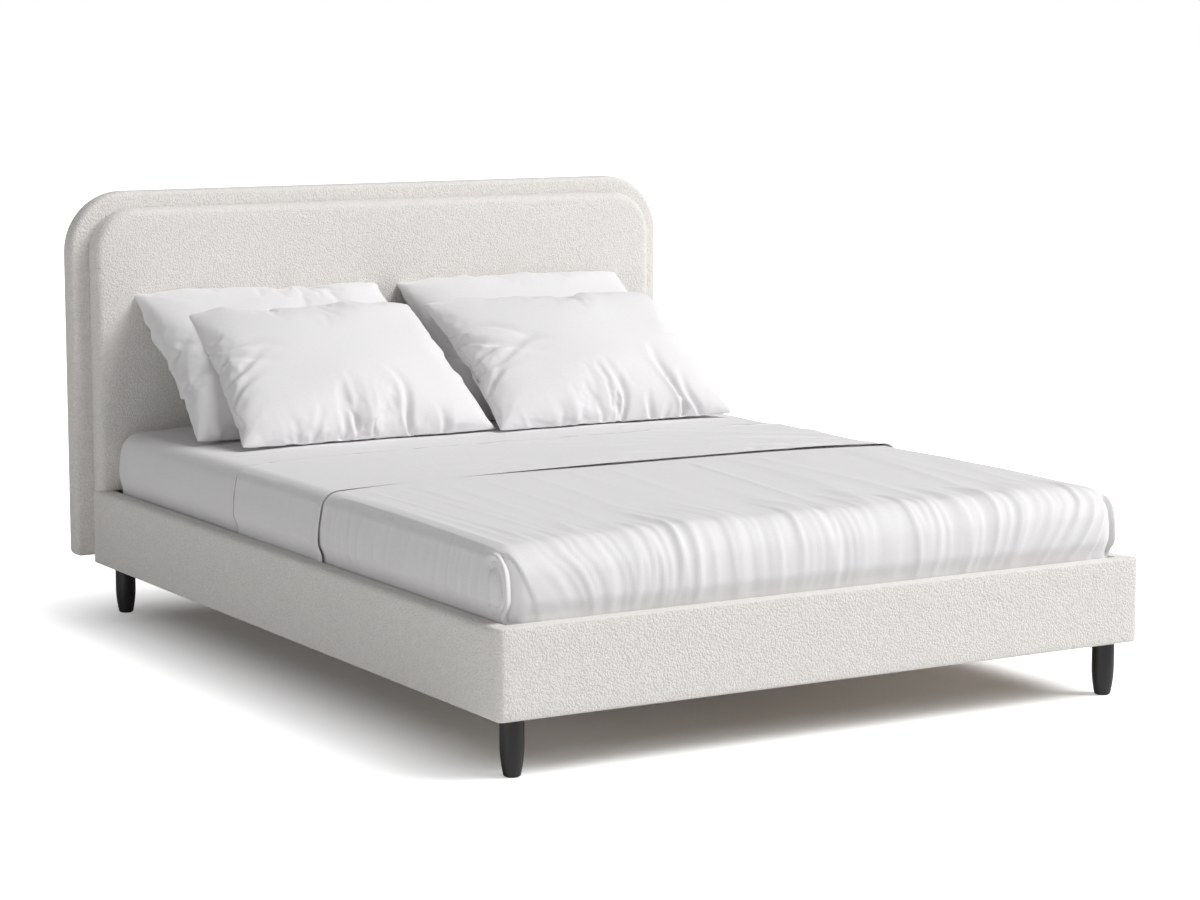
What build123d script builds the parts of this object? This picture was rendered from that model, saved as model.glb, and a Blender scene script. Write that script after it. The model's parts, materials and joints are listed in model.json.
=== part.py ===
from build123d import *
import math
import os

os.makedirs("parts", exist_ok=True)

# The bed stands on Z = 0, centred on X = 0. Its foot is at -Y and its headboard at +Y.
# "Left" is the -X side.

# Mattress, and the room round it that the bedding needs
mattress_width = 1530.0
mattress_length = 2030.0
mattress_height = 255.0
mattress_corner = 45.0
mattress_edge = 28.0
side_gap = 9.0
foot_gap = 6.0
head_gap = 13.0
mattress_sink = 96.0

# Upholstery
fabric = 1.6
top_return = 38.0
bottom_return = 28.0

# Rails
rail_thickness = 36.0
rail_height = 189.0
rail_corner = 15.0
rail_top_round = 12.0
rail_bottom_round = 6.0
rail_inner_round = 3.0
board_thickness = 24.0
board_corner = 6.0
rail_top_foam = 10.0
head_rail_height = 164.5
head_rail_lift = 5.5

# Headboard: a wide rear panel with a raised panel on its front
headboard_thickness = 48.0
headboard_top = 1060.0
headboard_bottom = 141.0
headboard_overhang = 48.0
headboard_radius = 152.0
headboard_foot_radius = 16.0
headboard_front_round = 12.0
headboard_back_round = 8.0
headboard_board_thickness = 25.0
panel_thickness = 45.0
panel_margin = 41.0
panel_radius = 112.0
panel_front_round = 18.0
panel_back_round = 8.0
panel_board_thickness = 18.0
edge_foam = 12.0
back_return = 40.0
dust_cloth = 1.0
dust_cloth_gap = 0.5

# Legs
leg_height = 122.0
leg_top_radius = 25.0
leg_base_radius = 17.5
leg_straight_share = 0.45
leg_base_round = 2.0
leg_from_side_rail = 21.0
leg_from_foot_rail = 14.0
leg_from_head_rail = 38.0
glide_radius = 14.0
glide_thickness = 1.5

# Corner blocks and leg plates
block_width = 60.0
block_length = 66.0
plate_thickness = 2.0
plate_inset = 2.0
plate_screw_across = 42.0
plate_screw_along = 50.0

# Slats and what carries them
slat_thickness = 18.0
slat_width = 70.0
slat_count = 14
slat_end_gap = 2.4
slat_mattress_margin = 12.0
strap_width = 30.0
strap_thickness = 1.0
strap_spacing = 760.0
batten_thickness = 25.0
batten_height = 40.0
centre_rail_width = 44.0
centre_rail_height = 70.0
centre_rail_gap = 1.0
hanger_thickness = 2.5
hanger_depth = 42.0
hanger_flange = 22.0
hanger_slack = 0.5

# Centre legs and their levelling feet
centre_leg_radius = 20.0
centre_leg_spacing = 720.0
foot_base_radius = 22.0
foot_base_height = 8.0
foot_thread_length = 40.0
foot_gap_above = 0.5
foot_thread_clearance = 0.3

# Fasteners
clearance = 0.2
bolt_diameter = 8.0
bolt_head_diameter = 13.0
bolt_head_height = 5.5
washer_diameter = 18.0
washer_thickness = 1.6
bolt_bite = 20.0
bolt_spread = 13.0
bolt_rise = 10.0
side_bolt_share = 0.3
stud_in_leg = 20.0
stud_in_block = 50.0
plate_screw_diameter = 4.0
plate_screw_head = 8.0
plate_screw_length = 14.0
wood_screw_diameter = 5.0
wood_screw_head = 10.0
wood_screw_head_height = 3.0
wood_screw_bite = 15.0
batten_screw_count = 8
panel_screw_diameter = 6.0
panel_screw_head = 12.0
panel_screw_head_height = 4.0
panel_screw_recess = 6.0
panel_screw_bite = 14.0
panel_screw_across = (-0.37, -0.125, 0.125, 0.37)
panel_screw_up = (0.2, 0.75)
hanger_screw_up = (0.45, 0.85)
headboard_bolt_recess = 10.0
headboard_bolt_inset = 72.0
headboard_bolt_height = 90.5
headboard_bolt_spread = 40.0

# Bedding
sheet = 1.4
sheet_clearance = 0.3
sheet_hem = 10.0
fold_from_panel = 756.0
band_length = 464.0
pillow_width = 690.0
pillow_corner = 30.0
pillow_face_inset = 130.0
pillow_face_corner = 60.0
pillow_clearance = 0.4
pillow_seam = 12.0
pillow_filling_gap = 1.2

# Levels above the floor
rail_top = leg_height + rail_height
slat_top = rail_top - mattress_sink
ledge_top = slat_top - slat_thickness
mattress_top = slat_top + mattress_height
block_bottom = leg_height + plate_thickness
centre_rail_bottom = ledge_top - centre_rail_height
head_rail_bottom = leg_height + head_rail_lift
bolt_level = (block_bottom + ledge_top) / 2 + bolt_rise

# Places across and along the bed
frame_width = mattress_width + 2 * (side_gap + rail_thickness)
overall_length = (
    rail_thickness + foot_gap + mattress_length + head_gap + panel_thickness + headboard_thickness
)
foot_face = -overall_length / 2
mattress_foot = foot_face + rail_thickness + foot_gap
mattress_head = mattress_foot + mattress_length
panel_face = mattress_head + head_gap
headboard_face = panel_face + panel_thickness
headboard_back = headboard_face + headboard_thickness
board_inner = frame_width / 2 - rail_thickness
side_inner = board_inner - fabric
foot_inner = foot_face + rail_thickness + fabric
head_rail_face = headboard_face - board_thickness

headboard_outline = {
    "width": frame_width + 2 * headboard_overhang,
    "bottom": headboard_bottom,
    "top": headboard_top,
    "crown_radius": headboard_radius,
    "foot_radius": headboard_foot_radius,
}
panel_outline = {
    "width": frame_width,
    "bottom": rail_top,
    "top": headboard_top - panel_margin,
    "crown_radius": panel_radius,
    "foot_radius": 0,
}

# The four corners, each as its side (-1 left) and its end (-1 foot)
corners = {
    "foot_left": (-1, -1),
    "foot_right": (1, -1),
    "head_left": (-1, 1),
    "head_right": (1, 1),
}

along_x = {-1: (-1, 0, 0), 1: (1, 0, 0)}
along_y = {-1: (0, -1, 0), 1: (0, 1, 0)}
up = (0, 0, 1)
at_base = (Align.CENTER, Align.CENTER, Align.MIN)
at_top = (Align.CENTER, Align.CENTER, Align.MAX)


def save(part, name):
    part.label = name
    export_step(part, f"parts/{name}.step")


# Round holes in the part being built, each from its point along its direction
def drill(holes, diameter, length):
    for point, direction in holes:
        with Locations(Plane(origin=point, z_dir=direction)):
            Cylinder(diameter / 2, length, align=at_base, mode=Mode.SUBTRACT)


# Plain-headed fasteners, each with its head seated at its point
def fasteners(seats, diameter, length, head_diameter, head_height):
    with BuildPart() as group:
        for point, direction in seats:
            with Locations(Plane(origin=point, z_dir=direction)):
                Cylinder(diameter / 2, length, align=at_base)
                Cylinder(head_diameter / 2, head_height, align=at_top)
    return group.part


def washers(seats, diameter, hole, thickness):
    with BuildPart() as group:
        for point, direction in seats:
            with Locations(Plane(origin=point, z_dir=direction)):
                Cylinder(diameter / 2, thickness, align=at_top)
                Cylinder(hole / 2, thickness, align=at_top, mode=Mode.SUBTRACT)
    return group.part


# The seat of a fastener whose head stands on a washer
def raised(seats, height):
    return [
        (tuple(p - height * d for p, d in zip(point, direction)), direction)
        for point, direction in seats
    ]


def box_between(low, high):
    size = [b - a for a, b in zip(low, high)]
    middle = [(a + b) / 2 for a, b in zip(low, high)]
    with BuildPart() as block:
        with Locations(tuple(middle)):
            Box(*size)
    return block.part


def mirrored(part):
    with BuildPart() as copy:
        mirror(part, about=Plane.YZ)
    return copy.part


# A flat-sided panel between two Y planes, its outline drawn in by inset
def panel_prism(outline, inset, front, back):
    low = outline["bottom"] + inset
    high = outline["top"] - inset
    with BuildPart() as prism:
        with BuildSketch(Plane(origin=(0, back, 0), x_dir=(1, 0, 0), z_dir=(0, -1, 0))) as face:
            with Locations((0, (low + high) / 2)):
                Rectangle(outline["width"] - 2 * inset, high - low)
            fillet(face.vertices().group_by(Axis.Y)[-1], outline["crown_radius"] - inset)
            if outline["foot_radius"] > inset:
                fillet(face.vertices().group_by(Axis.Y)[0], outline["foot_radius"] - inset)
        extrude(amount=back - front)
    return prism.part


# The same panel with soft edges. One that stands on the rails keeps a square foot.
def padded_panel(outline, inset, front, back, front_round, back_round):
    square_edges = 0 if outline["foot_radius"] else 1
    with BuildPart() as pad:
        add(panel_prism(outline, inset, front + inset, back - inset))
        front_edges = pad.faces().sort_by(Axis.Y)[0].edges().sort_by(Axis.Z)
        fillet(front_edges[square_edges:], front_round - inset)
        back_edges = pad.faces().sort_by(Axis.Y)[-1].edges().sort_by(Axis.Z)
        fillet(back_edges[square_edges:], back_round - inset)
    return pad.part


# The board, foam and cover of one upholstered panel
def upholstered_panel(outline, front, back, front_round, back_round, board_depth):
    outer = padded_panel(outline, 0, front, back, front_round, back_round)
    lining = padded_panel(outline, fabric, front, back, front_round, back_round)
    board_back = back - fabric
    board = panel_prism(outline, fabric + edge_foam, board_back - board_depth, board_back)
    window = panel_prism(outline, back_return, board_back, back)
    with BuildPart() as foam:
        add(lining)
        add(board, mode=Mode.SUBTRACT)
    with BuildPart() as cover:
        add(outer)
        add(lining, mode=Mode.SUBTRACT)
        add(window, mode=Mode.SUBTRACT)
    return board, foam.part, cover.part


# Headboard and its front panel, joined by screws from behind and bolted to the head rail
headboard_bolt_seats = [
    (
        (
            side * (side_inner - headboard_bolt_inset),
            headboard_back - fabric - headboard_bolt_recess,
            head_rail_bottom + headboard_bolt_height + level * headboard_bolt_spread,
        ),
        along_y[-1],
    )
    for side in (-1, 1)
    for level in (-1, 1)
]
panel_height = panel_outline["top"] - panel_outline["bottom"]
panel_screw_seats = [
    (
        (
            across * frame_width,
            headboard_back - fabric - panel_screw_recess,
            panel_outline["bottom"] + up_share * panel_height,
        ),
        along_y[-1],
    )
    for across in panel_screw_across
    for up_share in panel_screw_up
]
headboard_bolt_length = (
    headboard_thickness - fabric - headboard_bolt_recess + washer_thickness + bolt_bite
)
panel_screw_length = headboard_thickness - fabric - panel_screw_recess + panel_screw_bite

headboard_parts = upholstered_panel(
    headboard_outline,
    headboard_face,
    headboard_back,
    headboard_front_round,
    headboard_back_round,
    headboard_board_thickness,
)
for name, piece in zip(("headboard_board", "headboard_foam", "headboard_cover"), headboard_parts):
    with BuildPart() as headboard_piece:
        add(piece)
        drill(headboard_bolt_seats, bolt_diameter + 2 * clearance, headboard_thickness)
        drill(panel_screw_seats, panel_screw_diameter + 2 * clearance, headboard_thickness)
        if name == "headboard_board":
            for seats, width, depth in (
                (headboard_bolt_seats, washer_diameter, headboard_bolt_recess),
                (panel_screw_seats, panel_screw_head, panel_screw_recess),
            ):
                recesses = [(point, along_y[1]) for point, direction in seats]
                drill(recesses, width + 2 * clearance, depth)
    save(headboard_piece.part, name)

dust_cloth_back = headboard_back - fabric + dust_cloth
headboard_back_cloth = panel_prism(
    headboard_outline, back_return + dust_cloth_gap, dust_cloth_back - dust_cloth, dust_cloth_back
)
save(headboard_back_cloth, "headboard_back_cloth")

panel_parts = upholstered_panel(
    panel_outline,
    panel_face,
    headboard_face,
    panel_front_round,
    panel_back_round,
    panel_board_thickness,
)
for name, piece in zip(
    ("front_panel_board", "front_panel_foam", "front_panel_cover"), panel_parts
):
    with BuildPart() as panel_piece:
        add(piece)
        if name == "front_panel_board":
            pilots = [
                ((point[0], headboard_face, point[2]), direction)
                for point, direction in panel_screw_seats
            ]
            drill(pilots, panel_screw_diameter + 2 * clearance, panel_screw_bite + clearance)
    save(panel_piece.part, name)

save(
    fasteners(
        panel_screw_seats,
        panel_screw_diameter,
        panel_screw_length,
        panel_screw_head,
        panel_screw_head_height,
    ),
    "front_panel_screws",
)
save(
    fasteners(
        raised(headboard_bolt_seats, washer_thickness),
        bolt_diameter,
        headboard_bolt_length,
        bolt_head_diameter,
        bolt_head_height,
    ),
    "headboard_bolts",
)
save(
    washers(
        headboard_bolt_seats, washer_diameter, bolt_diameter + 2 * clearance, washer_thickness
    ),
    "headboard_washers",
)


# Where each corner block, leg and corner bolt stands
def block_middle(side, end):
    x = side * (side_inner - block_width / 2)
    y = foot_inner + block_length / 2 if end < 0 else head_rail_face - block_length / 2
    return x, y


def leg_place(side, end):
    x = side * (board_inner - leg_from_side_rail)
    foot_y = foot_face + rail_thickness + leg_from_foot_rail
    y = foot_y if end < 0 else head_rail_face - leg_from_head_rail
    return x, y


side_bolt_seats = []
end_bolt_seats = []
for side, end in corners.values():
    x, y = block_middle(side, end)
    for level in (-1, 1):
        seat = (
            x - side * block_width / 2,
            y - end * block_length * side_bolt_share,
            bolt_level + level * bolt_spread,
        )
        side_bolt_seats.append((seat, along_x[side]))
    seat = (x - side * (block_width / 2 - bolt_head_diameter), y - end * block_length / 2, bolt_level)
    end_bolt_seats.append((seat, along_y[end]))

bolt_hole = bolt_diameter + 2 * clearance
side_bolt_grip = block_width + fabric + bolt_bite
end_bolt_grip = block_length + fabric + bolt_bite
leg_places = {name: leg_place(side, end) for name, (side, end) in corners.items()}
stud_length = stud_in_leg + stud_in_block

with BuildPart() as corner_bolts:
    for seats, grip in ((side_bolt_seats, side_bolt_grip), (end_bolt_seats, end_bolt_grip)):
        add(
            fasteners(
                raised(seats, washer_thickness),
                bolt_diameter,
                grip + washer_thickness,
                bolt_head_diameter,
                bolt_head_height,
            )
        )
save(corner_bolts.part, "corner_bolts")
save(
    washers(side_bolt_seats + end_bolt_seats, washer_diameter, bolt_hole, washer_thickness),
    "corner_washers",
)


# A side rail's shape on the right, drawn in by inset: soft outer edges and a square back
def side_rail_bar(inset, inner_face):
    low = (inner_face, foot_inner, leg_height + inset)
    high = (frame_width / 2 - inset, headboard_face, rail_top - inset)
    with BuildPart() as bar:
        add(box_between(low, high))
        lengthwise = bar.edges().filter_by(Axis.Y)
        inner_edges, outer_edges = lengthwise.group_by(Axis.X)
        fillet(outer_edges.sort_by(Axis.Z)[-1], rail_top_round - inset)
        outer_low = bar.edges().filter_by(Axis.Y).group_by(Axis.X)[-1].sort_by(Axis.Z)[0]
        fillet(outer_low, rail_bottom_round - inset)
        inner_high = bar.edges().filter_by(Axis.Y).group_by(Axis.X)[0].sort_by(Axis.Z)[-1]
        fillet(inner_high, rail_inner_round - inset)
    return bar.part


# The foot rail's shape: the cover runs round its ends
def foot_rail_bar(inset, inner_face):
    low = (-frame_width / 2 + inset, foot_face + inset, leg_height + inset)
    high = (frame_width / 2 - inset, inner_face, rail_top - inset)
    with BuildPart() as bar:
        add(box_between(low, high))
        fillet(bar.edges().filter_by(Axis.Z).group_by(Axis.Y)[0], rail_corner - inset)
        top_edges = bar.faces().sort_by(Axis.Z)[-1].edges().sort_by(Axis.Y)
        fillet(top_edges[:-1], rail_top_round - inset)
        bottom_edges = bar.faces().sort_by(Axis.Z)[0].edges().sort_by(Axis.Y)
        fillet(bottom_edges[:-1], rail_bottom_round - inset)
    return bar.part


window_bottom = leg_height + bottom_return
window_top = rail_top - top_return
batten_start = foot_inner + block_length
batten_end = head_rail_face - block_length
batten_pitch = (batten_end - batten_start) / batten_screw_count
batten_screw_seats = [
    (
        (
            side * (board_inner - batten_thickness),
            batten_start + (index + 0.5) * batten_pitch,
            ledge_top - batten_height / 2,
        ),
        along_x[side],
    )
    for side in (-1, 1)
    for index in range(batten_screw_count)
]
batten_screw_length = batten_thickness + wood_screw_bite

# Side rails: a board, foam over its outer face and top, and a cover returned on the inside
with BuildPart() as right_rail_board:
    add(
        box_between(
            (board_inner, foot_inner, leg_height + fabric),
            (board_inner + board_thickness, headboard_face, rail_top - fabric - rail_top_foam),
        )
    )
    drill(side_bolt_seats, bolt_hole, side_bolt_grip + clearance)
    drill(batten_screw_seats, wood_screw_diameter + 2 * clearance, batten_screw_length + clearance)
right_lining = side_rail_bar(fabric, board_inner)
with BuildPart() as right_rail_foam:
    add(right_lining)
    add(
        box_between(
            (board_inner, foot_inner, leg_height + fabric),
            (board_inner + board_thickness, headboard_face, rail_top - fabric - rail_top_foam),
        ),
        mode=Mode.SUBTRACT,
    )
with BuildPart() as right_rail_cover:
    add(side_rail_bar(0, side_inner))
    add(right_lining, mode=Mode.SUBTRACT)
    add(
        box_between(
            (side_inner - fabric, foot_inner, window_bottom),
            (board_inner + fabric, headboard_face, window_top),
        ),
        mode=Mode.SUBTRACT,
    )
for name, piece in (
    ("rail_board", right_rail_board.part),
    ("rail_foam", right_rail_foam.part),
    ("rail_cover", right_rail_cover.part),
):
    save(mirrored(piece), f"left_{name}")
    save(piece, f"right_{name}")

# Foot rail
foot_board_face = foot_face + rail_thickness - board_thickness
foot_board_half = board_inner + board_thickness
with BuildPart() as foot_board:
    add(
        box_between(
            (-foot_board_half, foot_board_face, leg_height + fabric),
            (foot_board_half, foot_face + rail_thickness, rail_top - fabric - rail_top_foam),
        )
    )
    fillet(foot_board.edges().filter_by(Axis.Z).group_by(Axis.Y)[0], board_corner)
foot_board_box = foot_board.part
hanger_half = centre_rail_width / 2 + hanger_slack + hanger_thickness + hanger_flange
hanger_screw_seats = {
    end: [
        (
            (side * (hanger_half - hanger_flange / 2), face - end * hanger_thickness, level),
            along_y[end],
        )
        for side in (-1, 1)
        for level in (centre_rail_bottom + centre_rail_height * share for share in hanger_screw_up)
    ]
    for end, face in ((-1, foot_inner), (1, head_rail_face))
}
hanger_screw_length = hanger_thickness + fabric + wood_screw_bite
with BuildPart() as foot_rail_board:
    add(foot_board_box)
    drill(end_bolt_seats, bolt_hole, end_bolt_grip + clearance)
    drill(
        hanger_screw_seats[-1], wood_screw_diameter + 2 * clearance, hanger_screw_length + clearance
    )
foot_lining = foot_rail_bar(fabric, foot_face + rail_thickness)
with BuildPart() as foot_rail_foam:
    add(foot_lining)
    add(foot_board_box, mode=Mode.SUBTRACT)
with BuildPart() as foot_rail_cover:
    add(foot_rail_bar(0, foot_inner))
    add(foot_lining, mode=Mode.SUBTRACT)
    add(
        box_between(
            (-board_inner, foot_inner - 2 * fabric, window_bottom),
            (board_inner, foot_inner + fabric, window_top),
        ),
        mode=Mode.SUBTRACT,
    )
save(foot_rail_board.part, "foot_rail_board")
save(foot_rail_foam.part, "foot_rail_foam")
save(foot_rail_cover.part, "foot_rail_cover")

# Head rail: the bare board below the front panel
with BuildPart() as head_rail:
    add(
        box_between(
            (-side_inner, head_rail_face, head_rail_bottom),
            (side_inner, headboard_face, head_rail_bottom + head_rail_height),
        )
    )
    drill(end_bolt_seats, bolt_hole, end_bolt_grip + clearance)
    drill(headboard_bolt_seats, bolt_hole, headboard_bolt_length + clearance)
    drill(
        hanger_screw_seats[1], wood_screw_diameter + 2 * clearance, hanger_screw_length + clearance
    )
save(head_rail.part, "head_rail")

# Corner blocks, which the legs and the rails' bolts fasten to
plate_screw_places = {}
for name, (side, end) in corners.items():
    x, y = block_middle(side, end)
    plate_screw_places[name] = [
        (x + a * plate_screw_across / 2, y + b * plate_screw_along / 2)
        for a in (-1, 1)
        for b in (-1, 1)
    ]
    with BuildPart() as corner_block:
        with Locations((x, y, block_bottom)):
            Box(block_width, block_length, ledge_top - block_bottom, align=at_base)
        drill(side_bolt_seats, bolt_hole, block_width)
        drill(end_bolt_seats, bolt_hole, block_length)
        stud_hole = ((*leg_places[name], block_bottom), up)
        drill([stud_hole], bolt_hole, stud_in_block + clearance)
        screw_holes = [((*place, block_bottom), up) for place in plate_screw_places[name]]
        drill(screw_holes, plate_screw_diameter + 2 * clearance, plate_screw_length + clearance)
    save(corner_block.part, f"{name}_corner_block")

with BuildPart() as leg_plates:
    for name, (side, end) in corners.items():
        x, y = block_middle(side, end)
        with Locations((x, y, leg_height)):
            Box(
                block_width - 2 * plate_inset,
                block_length - 2 * plate_inset,
                plate_thickness,
                align=at_base,
            )
        drill([((*leg_places[name], leg_height), up)], bolt_hole, plate_thickness)
        for place in plate_screw_places[name]:
            with Locations((*place, leg_height)):
                Cone(
                    plate_screw_head / 2 + clearance,
                    plate_screw_diameter / 2 + clearance,
                    plate_thickness,
                    align=at_base,
                    mode=Mode.SUBTRACT,
                )
save(leg_plates.part, "leg_plates")

with BuildPart() as plate_screws:
    for places in plate_screw_places.values():
        for place in places:
            with Locations((*place, leg_height)):
                Cone(
                    plate_screw_head / 2, plate_screw_diameter / 2, plate_thickness, align=at_base
                )
            with Locations((*place, block_bottom)):
                Cylinder(plate_screw_diameter / 2, plate_screw_length, align=at_base)
save(plate_screws.part, "plate_screws")


# Turned legs: straight at the top, then a slow curve in to the base
def turned_leg(x, y):
    straight_end = leg_height - leg_straight_share * leg_height
    with BuildPart() as leg:
        with BuildSketch(Plane(origin=(x, y, 0), x_dir=(1, 0, 0), z_dir=(0, -1, 0))):
            with BuildLine():
                Line((0, glide_thickness), (0, leg_height))
                Line((0, leg_height), (leg_top_radius, leg_height))
                Line((leg_top_radius, leg_height), (leg_top_radius, straight_end))
                TangentArc(
                    (leg_top_radius, straight_end),
                    (leg_base_radius, glide_thickness),
                    tangent=(0, -1),
                )
                Line((leg_base_radius, glide_thickness), (0, glide_thickness))
            make_face()
        revolve(axis=Axis((x, y, 0), up))
        fillet(leg.edges().sort_by(Axis.Z)[0], leg_base_round)
        drill([((x, y, leg_height - stud_in_leg - clearance), up)], bolt_hole, stud_in_leg + clearance)
    return leg.part


for name, place in leg_places.items():
    save(turned_leg(*place), f"{name}_leg")

with BuildPart() as leg_glides:
    with Locations(*leg_places.values()):
        Cylinder(glide_radius, glide_thickness, align=at_base)
save(leg_glides.part, "leg_glides")

centre_leg_places = [(0, -centre_leg_spacing / 2), (0, centre_leg_spacing / 2)]
with BuildPart() as leg_studs:
    for place in leg_places.values():
        with Locations((*place, leg_height - stud_in_leg)):
            Cylinder(bolt_diameter / 2, stud_length + plate_thickness, align=at_base)
    for place in centre_leg_places:
        with Locations((*place, centre_rail_bottom)):
            Cylinder(bolt_diameter / 2, 2 * stud_in_leg)
save(leg_studs.part, "leg_studs")

# Battens on the side rails
with BuildPart() as right_batten:
    add(
        box_between(
            (board_inner - batten_thickness, batten_start, ledge_top - batten_height),
            (board_inner, batten_end, ledge_top),
        )
    )
    drill(batten_screw_seats, wood_screw_diameter + 2 * clearance, batten_thickness)
save(mirrored(right_batten.part), "left_batten")
save(right_batten.part, "right_batten")
save(
    fasteners(
        batten_screw_seats,
        wood_screw_diameter,
        batten_screw_length,
        wood_screw_head,
        wood_screw_head_height,
    ),
    "batten_screws",
)


# Centre rail, hung at both ends in a steel saddle
def hanger(end, face):
    saddle_half = centre_rail_width / 2 + hanger_slack + hanger_thickness
    bottom = centre_rail_bottom - hanger_thickness
    front = face - end * hanger_depth
    back = face - end * hanger_thickness
    with BuildPart() as bracket:
        add(
            box_between(
                (-saddle_half, min(front, face), bottom), (saddle_half, max(front, face), ledge_top)
            )
        )
        add(
            box_between(
                (-saddle_half + hanger_thickness, min(front, back), centre_rail_bottom),
                (saddle_half - hanger_thickness, max(front, back), ledge_top),
            ),
            mode=Mode.SUBTRACT,
        )
        add(
            box_between(
                (-hanger_half, min(face, back), bottom), (hanger_half, max(face, back), ledge_top)
            )
        )
        drill(
            hanger_screw_seats[end], wood_screw_diameter + 2 * clearance, hanger_thickness
        )
    return bracket.part


save(hanger(-1, foot_inner), "foot_hanger")
save(hanger(1, head_rail_face), "head_hanger")
save(
    fasteners(
        hanger_screw_seats[-1] + hanger_screw_seats[1],
        wood_screw_diameter,
        hanger_screw_length,
        wood_screw_head,
        wood_screw_head_height,
    ),
    "hanger_screws",
)

centre_rail_reach = hanger_thickness + centre_rail_gap
with BuildPart() as centre_rail:
    add(
        box_between(
            (-centre_rail_width / 2, foot_inner + centre_rail_reach, centre_rail_bottom),
            (centre_rail_width / 2, head_rail_face - centre_rail_reach, ledge_top),
        )
    )
    drill(
        [((*place, centre_rail_bottom), up) for place in centre_leg_places],
        bolt_hole,
        stud_in_leg + clearance,
    )
save(centre_rail.part, "centre_rail")

# Centre legs with levelling feet that screw down out of them
foot_travel_bottom = foot_base_height + foot_gap_above
foot_hole = bolt_diameter + 2 * foot_thread_clearance
for name, place in zip(("foot_end", "head_end"), centre_leg_places):
    with BuildPart() as centre_leg:
        with Locations((*place, foot_travel_bottom)):
            Cylinder(centre_leg_radius, centre_rail_bottom - foot_travel_bottom, align=at_base)
        drill([((*place, foot_travel_bottom), up)], foot_hole, foot_thread_length + foot_gap_above)
        drill(
            [((*place, centre_rail_bottom - stud_in_leg - clearance), up)],
            bolt_hole,
            stud_in_leg + clearance,
        )
    save(centre_leg.part, f"{name}_centre_leg")
    with BuildPart() as levelling_foot:
        with Locations(place):
            Cylinder(foot_base_radius, foot_base_height, align=at_base)
            Cylinder(bolt_diameter / 2, foot_base_height + foot_thread_length, align=at_base)
        fillet(
            levelling_foot.edges().filter_by(GeomType.CIRCLE).sort_by(SortBy.RADIUS)[-1],
            leg_base_round,
        )
    save(levelling_foot.part, f"{name}_levelling_foot")

# Slats, joined by two webbing straps stapled under them
slat_length = 2 * (board_inner - fabric - slat_end_gap)
slat_run = mattress_length - 2 * slat_mattress_margin - slat_width
slat_pitch = slat_run / (slat_count - 1)
mattress_middle = (mattress_foot + mattress_head) / 2
with BuildPart() as slats:
    with Locations((0, mattress_middle, ledge_top)):
        with GridLocations(0, slat_pitch, 1, slat_count):
            Box(slat_length, slat_width, slat_thickness, align=at_base)
save(slats.part, "slats")
with BuildPart() as slat_straps:
    with Locations((0, mattress_middle, ledge_top)):
        with GridLocations(strap_spacing, 0, 2, 1):
            Box(strap_width, slat_run + slat_width, strap_thickness, align=at_top)
save(slat_straps.part, "slat_straps")


# The mattress's shape, grown by a layer's distance on every side
def mattress_shape(grow):
    with BuildPart() as shape:
        add(
            box_between(
                (-mattress_width / 2 - grow, mattress_foot - grow, slat_top - grow),
                (mattress_width / 2 + grow, mattress_head + grow, mattress_top + grow),
            )
        )
        fillet(shape.edges().filter_by(Axis.Z), mattress_corner + grow)
        fillet(shape.faces().sort_by(Axis.Z)[-1].edges(), mattress_edge + grow)
        fillet(shape.faces().sort_by(Axis.Z)[0].edges(), mattress_edge + grow)
    return shape.part


# A layer of sheet over the mattress from one Y plane to another, open below
def sheet_layer(inner, outer, start, end):
    reach = mattress_width
    hem = slat_top + mattress_edge + sheet_hem
    with BuildPart() as layer:
        add(mattress_shape(outer))
        add(mattress_shape(inner), mode=Mode.SUBTRACT)
        add(box_between((-reach, start, hem), (reach, end, 2 * mattress_top)), mode=Mode.INTERSECT)
    return layer.part


fitted_inner = sheet_clearance
fitted_outer = fitted_inner + sheet
save(mattress_shape(0), "mattress")
save(sheet_layer(fitted_inner, fitted_outer, foot_face, panel_face), "fitted_sheet")

# Flat sheet: tucked in at the foot and sides, its top turned back over itself in a band
flat_inner = fitted_outer + sheet_clearance
flat_outer = flat_inner + sheet
band_inner = flat_outer + sheet_clearance
band_outer = band_inner + sheet
fold = panel_face - fold_from_panel
with BuildPart() as flat_sheet:
    add(sheet_layer(flat_inner, flat_outer, foot_face, fold))
    add(sheet_layer(band_inner, band_outer, fold - band_length, fold))
    add(sheet_layer(flat_inner, band_outer, fold - sheet, fold))
save(flat_sheet.part, "flat_sheet")


# A pillow leaning back: a full middle outline and two smaller, flatter faces.
# The seam leaves a flat edge outside the filling.
def pillow_shape(pillow, seam, skin):
    rest = mattress_top + fitted_outer + pillow_clearance
    lean = math.radians(pillow["lean"])
    leaning = Plane(
        origin=(pillow["x"], panel_face - pillow["from_panel"], rest),
        x_dir=(1, 0, 0),
        z_dir=(0, -math.sin(lean), math.cos(lean)),
    )

    def outline(height, inset, corner):
        with BuildSketch(leaning.offset(height)) as rectangle:
            with Locations((0, pillow["height"] / 2)):
                RectangleRounded(pillow_width - 2 * inset, pillow["height"] - 2 * inset, corner)
        return rectangle.sketch

    middle = outline(0, seam, pillow_corner)
    face_inset = pillow_face_inset + seam
    with BuildPart() as shape:
        for swell in (pillow["front_swell"] - skin, skin - pillow["back_swell"]):
            loft([middle, outline(swell, face_inset, pillow_face_corner)], ruled=True)
    return shape.part


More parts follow.
